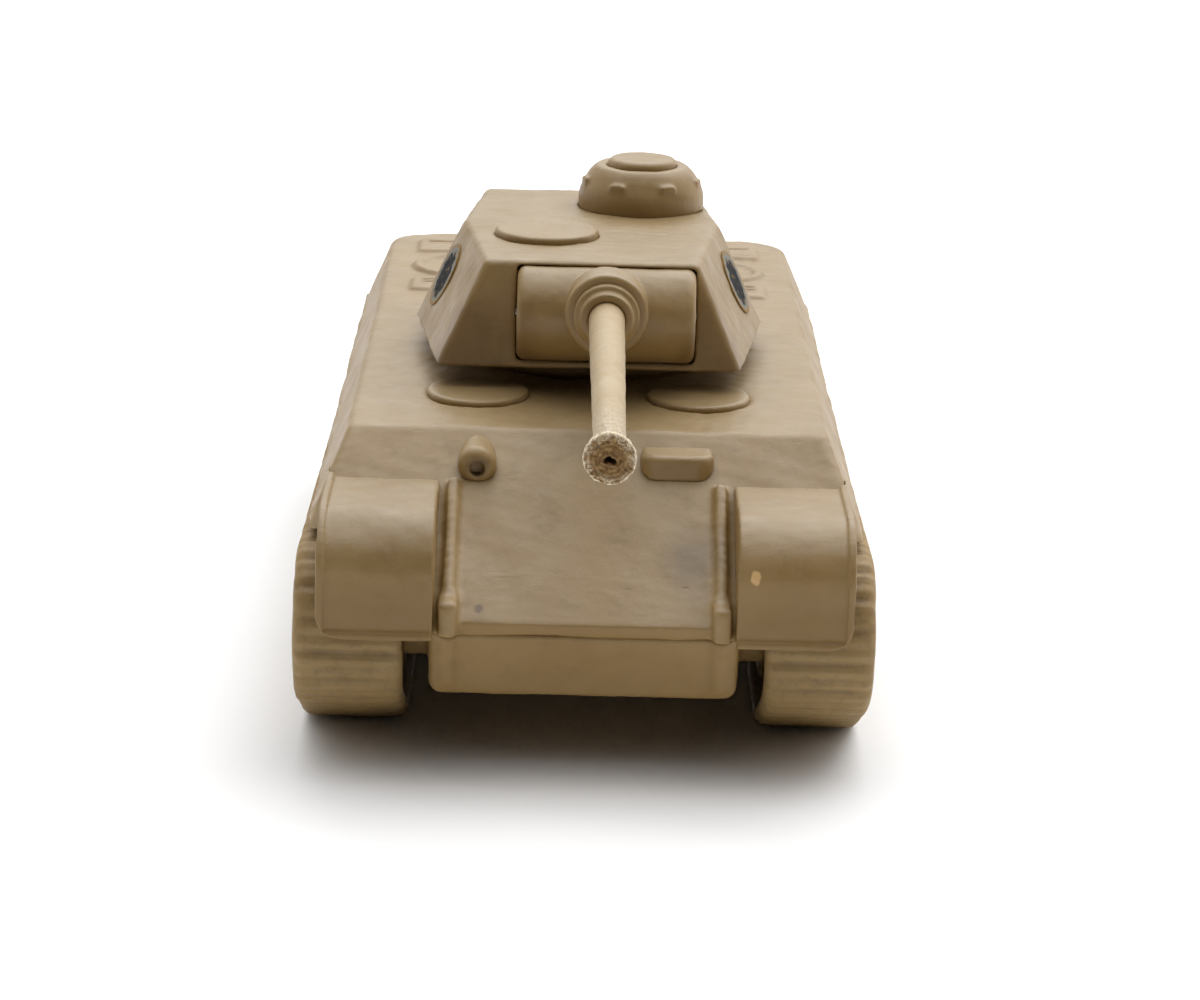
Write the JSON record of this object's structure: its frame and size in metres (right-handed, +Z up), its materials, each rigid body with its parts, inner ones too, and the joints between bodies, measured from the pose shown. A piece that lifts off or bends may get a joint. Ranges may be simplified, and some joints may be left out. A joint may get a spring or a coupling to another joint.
{
  "type": "micro remote control tank",
  "caption": "Micro remote-controlled battle tank: sloped hull, six-sided turret that traverses, long gun that elevates, interleaved road wheels inside closed track belts, belly door and switch.",
  "frame": {"origin": "on the ground, under the centre of the whole box, gun included", "axes": "+Z up, the gun and nose point along -Y, +X is the tank's left side"},
  "size_m": [0.0454, 0.113, 0.0395],
  "materials": {
    "sand_paint": "thick satin sand paint over moulded plastic",
    "track_paint": "flexible belt under the same sand paint, worn on the cleats",
    "wheel_paint": "sand paint",
    "steel": "plain turned steel",
    "brass": "cut brass",
    "motor_can": "plated can",
    "black_plastic": "moulded, slightly rough",
    "white_plastic": "natural moulded gear plastic",
    "circuit_board": "solder mask",
    "battery_foil": "pouch foil",
    "emblem_paint": "printed dark disc inside a pale grey ring"
  },
  "bodies": {
    "hull": {"lower_hull": "sand_paint", "upper_hull": "sand_paint", "left_mudguard": "sand_paint", "right_mudguard": "sand_paint", "battery_door": "sand_paint", "battery_door_screw": "steel", "chassis_screws": "steel", "left_track": "track_paint", "right_track": "track_paint", "wheel_axles": "steel", "left_drive_motor": "motor_can", "right_drive_motor": "motor_can", "motor_bracket": "black_plastic", "circuit_board": "circuit_board", "battery": "battery_foil", "charge_socket": "black_plastic", "hull_hatches": "sand_paint", "driver_visor": "sand_paint", "machine_gun_mount": "sand_paint", "exhaust_pipes": "sand_paint", "turret_motor": "motor_can", "switch_housing": "black_plastic"},
    "turret": {"turret_shell": "sand_paint", "turret_ring": "sand_paint", "traverse_gear": "white_plastic", "cupola": "sand_paint", "cupola_hatch": "sand_paint", "loader_hatch": "sand_paint", "turret_emblems": "emblem_paint"},
    "gun": {"mantlet": "sand_paint", "gun_collar": "sand_paint", "gun_barrel": "sand_paint", "muzzle_ring": "sand_paint", "trunnion_pin": "steel"},
    "turret_pinion": {"turret_pinion": "brass"},
    "power_switch": {"power_switch": "black_plastic"},
    "left_sprocket": {"left_sprocket": "wheel_paint", "left_drive_shaft": "steel"},
    "left_idler": {"left_idler": "wheel_paint"},
    "left_motor_pinion": {"left_motor_pinion": "brass"},
    "left_road_wheel_1": {"left_road_wheel_1": "wheel_paint"},
    "left_road_wheel_2": {"left_road_wheel_2": "wheel_paint"},
    "left_road_wheel_3": {"left_road_wheel_3": "wheel_paint"},
    "left_road_wheel_4": {"left_road_wheel_4": "wheel_paint"},
    "left_road_wheel_5": {"left_road_wheel_5": "wheel_paint"},
    "left_road_wheel_6": {"left_road_wheel_6": "wheel_paint"},
    "left_road_wheel_7": {"left_road_wheel_7": "wheel_paint"},
    "left_road_wheel_8": {"left_road_wheel_8": "wheel_paint"},
    "right_sprocket": {"right_sprocket": "wheel_paint", "right_drive_shaft": "steel"},
    "right_idler": {"right_idler": "wheel_paint"},
    "right_motor_pinion": {"right_motor_pinion": "brass"},
    "right_road_wheel_1": {"right_road_wheel_1": "wheel_paint"},
    "right_road_wheel_2": {"right_road_wheel_2": "wheel_paint"},
    "right_road_wheel_3": {"right_road_wheel_3": "wheel_paint"},
    "right_road_wheel_4": {"right_road_wheel_4": "wheel_paint"},
    "right_road_wheel_5": {"right_road_wheel_5": "wheel_paint"},
    "right_road_wheel_6": {"right_road_wheel_6": "wheel_paint"},
    "right_road_wheel_7": {"right_road_wheel_7": "wheel_paint"},
    "right_road_wheel_8": {"right_road_wheel_8": "wheel_paint"}
  },
  "joints": [
    {"name": "turret_traverse", "type": "hinge", "parent": "hull", "child": "turret", "pos_m": [0, 0.0077, 0.0253], "axis": [0, 0, 1], "continuous": true},
    {"name": "turret_pinion_spin", "type": "hinge", "parent": "hull", "child": "turret_pinion", "pos_m": [0, 0.0233, 0.0218], "axis": [0, 0, 1], "continuous": true},
    {"name": "gun_elevation", "type": "hinge", "parent": "turret", "child": "gun", "pos_m": [0.0013, -0.0081, 0.0308], "axis": [-1, 0, 0], "range_deg": [-6, 15]},
    {"name": "power_switch_slide", "type": "slide", "parent": "hull", "child": "power_switch", "axis": [0, 1, 0], "range_m": [0, 0.002]},
    {"name": "left_sprocket_spin", "type": "hinge", "parent": "hull", "child": "left_sprocket", "pos_m": [0.0184, -0.0294, 0.0106], "axis": [1, 0, 0], "continuous": true},
    {"name": "left_idler_spin", "type": "hinge", "parent": "hull", "child": "left_idler", "pos_m": [0.0184, 0.0475, 0.0094], "axis": [1, 0, 0], "continuous": true},
    {"name": "left_motor_pinion_spin", "type": "hinge", "parent": "hull", "child": "left_motor_pinion", "pos_m": [0.0101, -0.0255, 0.01075], "axis": [1, 0, 0], "continuous": true},
    {"name": "left_road_wheel_1_spin", "type": "hinge", "parent": "hull", "child": "left_road_wheel_1", "pos_m": [0.0184, -0.0214, 0.0069], "axis": [1, 0, 0], "continuous": true},
    {"name": "left_road_wheel_2_spin", "type": "hinge", "parent": "hull", "child": "left_road_wheel_2", "pos_m": [0.0184, -0.0136, 0.0069], "axis": [1, 0, 0], "continuous": true},
    {"name": "left_road_wheel_3_spin", "type": "hinge", "parent": "hull", "child": "left_road_wheel_3", "pos_m": [0.0184, -0.0058, 0.0069], "axis": [1, 0, 0], "continuous": true},
    {"name": "left_road_wheel_4_spin", "type": "hinge", "parent": "hull", "child": "left_road_wheel_4", "pos_m": [0.0184, 0.002, 0.0069], "axis": [1, 0, 0], "continuous": true},
    {"name": "left_road_wheel_5_spin", "type": "hinge", "parent": "hull", "child": "left_road_wheel_5", "pos_m": [0.0184, 0.0098, 0.0069], "axis": [1, 0, 0], "continuous": true},
    {"name": "left_road_wheel_6_spin", "type": "hinge", "parent": "hull", "child": "left_road_wheel_6", "pos_m": [0.0184, 0.0176, 0.0069], "axis": [1, 0, 0], "continuous": true},
    {"name": "left_road_wheel_7_spin", "type": "hinge", "parent": "hull", "child": "left_road_wheel_7", "pos_m": [0.0184, 0.0254, 0.0069], "axis": [1, 0, 0], "continuous": true},
    {"name": "left_road_wheel_8_spin", "type": "hinge", "parent": "hull", "child": "left_road_wheel_8", "pos_m": [0.0184, 0.0332, 0.0069], "axis": [1, 0, 0], "continuous": true},
    {"name": "right_sprocket_spin", "type": "hinge", "parent": "hull", "child": "right_sprocket", "pos_m": [-0.0184, -0.0294, 0.0106], "axis": [1, 0, 0], "continuous": true},
    {"name": "right_idler_spin", "type": "hinge", "parent": "hull", "child": "right_idler", "pos_m": [-0.0184, 0.0475, 0.0094], "axis": [1, 0, 0], "continuous": true},
    {"name": "right_motor_pinion_spin", "type": "hinge", "parent": "hull", "child": "right_motor_pinion", "pos_m": [-0.0101, -0.0255, 0.01075], "axis": [1, 0, 0], "continuous": true},
    {"name": "right_road_wheel_1_spin", "type": "hinge", "parent": "hull", "child": "right_road_wheel_1", "pos_m": [-0.0184, -0.0214, 0.0069], "axis": [1, 0, 0], "continuous": true},
    {"name": "right_road_wheel_2_spin", "type": "hinge", "parent": "hull", "child": "right_road_wheel_2", "pos_m": [-0.0184, -0.0136, 0.0069], "axis": [1, 0, 0], "continuous": true},
    {"name": "right_road_wheel_3_spin", "type": "hinge", "parent": "hull", "child": "right_road_wheel_3", "pos_m": [-0.0184, -0.0058, 0.0069], "axis": [1, 0, 0], "continuous": true},
    {"name": "right_road_wheel_4_spin", "type": "hinge", "parent": "hull", "child": "right_road_wheel_4", "pos_m": [-0.0184, 0.002, 0.0069], "axis": [1, 0, 0], "continuous": true},
    {"name": "right_road_wheel_5_spin", "type": "hinge", "parent": "hull", "child": "right_road_wheel_5", "pos_m": [-0.0184, 0.0098, 0.0069], "axis": [1, 0, 0], "continuous": true},
    {"name": "right_road_wheel_6_spin", "type": "hinge", "parent": "hull", "child": "right_road_wheel_6", "pos_m": [-0.0184, 0.0176, 0.0069], "axis": [1, 0, 0], "continuous": true},
    {"name": "right_road_wheel_7_spin", "type": "hinge", "parent": "hull", "child": "right_road_wheel_7", "pos_m": [-0.0184, 0.0254, 0.0069], "axis": [1, 0, 0], "continuous": true},
    {"name": "right_road_wheel_8_spin", "type": "hinge", "parent": "hull", "child": "right_road_wheel_8", "pos_m": [-0.0184, 0.0332, 0.0069], "axis": [1, 0, 0], "continuous": true}
  ],
  "couplings": [
    {"joint": "turret_pinion_spin", "follows": "turret_traverse", "ratio": -5.5},
    {"joint": "left_idler_spin", "follows": "left_sprocket_spin", "ratio": 1.2111},
    {"joint": "left_motor_pinion_spin", "follows": "left_sprocket_spin", "ratio": -1.6},
    {"joint": "left_road_wheel_1_spin", "follows": "left_sprocket_spin", "ratio": 0.9646},
    {"joint": "left_road_wheel_2_spin", "follows": "left_sprocket_spin", "ratio": 0.9646},
    {"joint": "left_road_wheel_3_spin", "follows": "left_sprocket_spin", "ratio": 0.9646},
    {"joint": "left_road_wheel_4_spin", "follows": "left_sprocket_spin", "ratio": 0.9646},
    {"joint": "left_road_wheel_5_spin", "follows": "left_sprocket_spin", "ratio": 0.9646},
    {"joint": "left_road_wheel_6_spin", "follows": "left_sprocket_spin", "ratio": 0.9646},
    {"joint": "left_road_wheel_7_spin", "follows": "left_sprocket_spin", "ratio": 0.9646},
    {"joint": "left_road_wheel_8_spin", "follows": "left_sprocket_spin", "ratio": 0.9646},
    {"joint": "right_idler_spin", "follows": "right_sprocket_spin", "ratio": 1.2111},
    {"joint": "right_motor_pinion_spin", "follows": "right_sprocket_spin", "ratio": -1.6},
    {"joint": "right_road_wheel_1_spin", "follows": "right_sprocket_spin", "ratio": 0.9646},
    {"joint": "right_road_wheel_2_spin", "follows": "right_sprocket_spin", "ratio": 0.9646},
    {"joint": "right_road_wheel_3_spin", "follows": "right_sprocket_spin", "ratio": 0.9646},
    {"joint": "right_road_wheel_4_spin", "follows": "right_sprocket_spin", "ratio": 0.9646},
    {"joint": "right_road_wheel_5_spin", "follows": "right_sprocket_spin", "ratio": 0.9646},
    {"joint": "right_road_wheel_6_spin", "follows": "right_sprocket_spin", "ratio": 0.9646},
    {"joint": "right_road_wheel_7_spin", "follows": "right_sprocket_spin", "ratio": 0.9646},
    {"joint": "right_road_wheel_8_spin", "follows": "right_sprocket_spin", "ratio": 0.9646}
  ]
}
